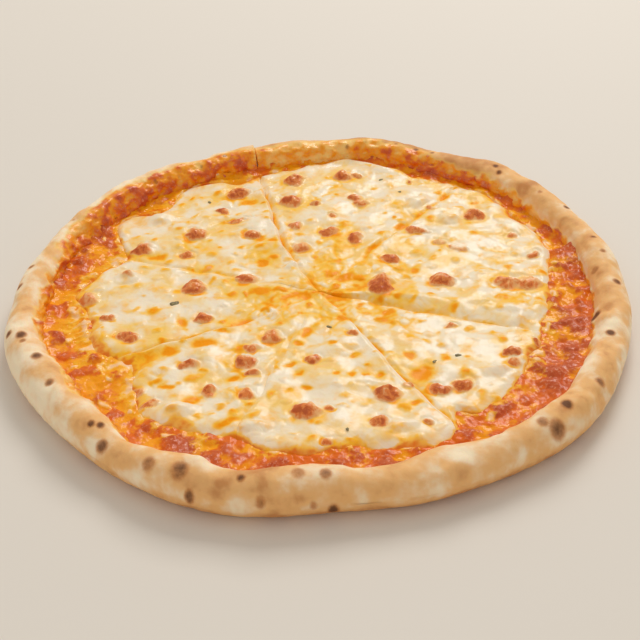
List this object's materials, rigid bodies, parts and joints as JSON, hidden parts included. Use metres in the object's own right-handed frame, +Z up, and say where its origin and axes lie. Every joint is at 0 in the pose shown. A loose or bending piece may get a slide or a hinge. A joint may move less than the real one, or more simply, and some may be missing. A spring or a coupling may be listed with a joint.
{
  "type": "double cheese pizza",
  "caption": "Round double cheese pizza on thin dough with a puffed rim, tomato sauce and browned melted cheese, cut into slices that lie together.",
  "frame": {"origin": "middle of the flat underside, on the surface that the pizza lies on", "axes": "+Z up through the pizza, its shortest extent; -Y towards the viewer of the picture and +X to the viewer's right"},
  "size_m": [0.2985, 0.2974, 0.0206],
  "materials": {
    "crust": "baked dough, matte, cream to golden brown with charred spots",
    "sauce": "cooked tomato sauce, lumpy and wet",
    "cheese": "melted cheese, pale, oily, with browned blisters",
    "herb": "dried herb, dull"
  },
  "bodies": {
    "root": {"crust": "crust", "sauce": "sauce", "cheese_slice_1": "cheese", "cheese_slice_2": "cheese", "cheese_slice_3": "cheese", "cheese_slice_4": "cheese", "cheese_slice_5": "cheese", "cheese_slice_6": "cheese", "cheese_slice_7": "cheese"}
  },
  "joints": []
}
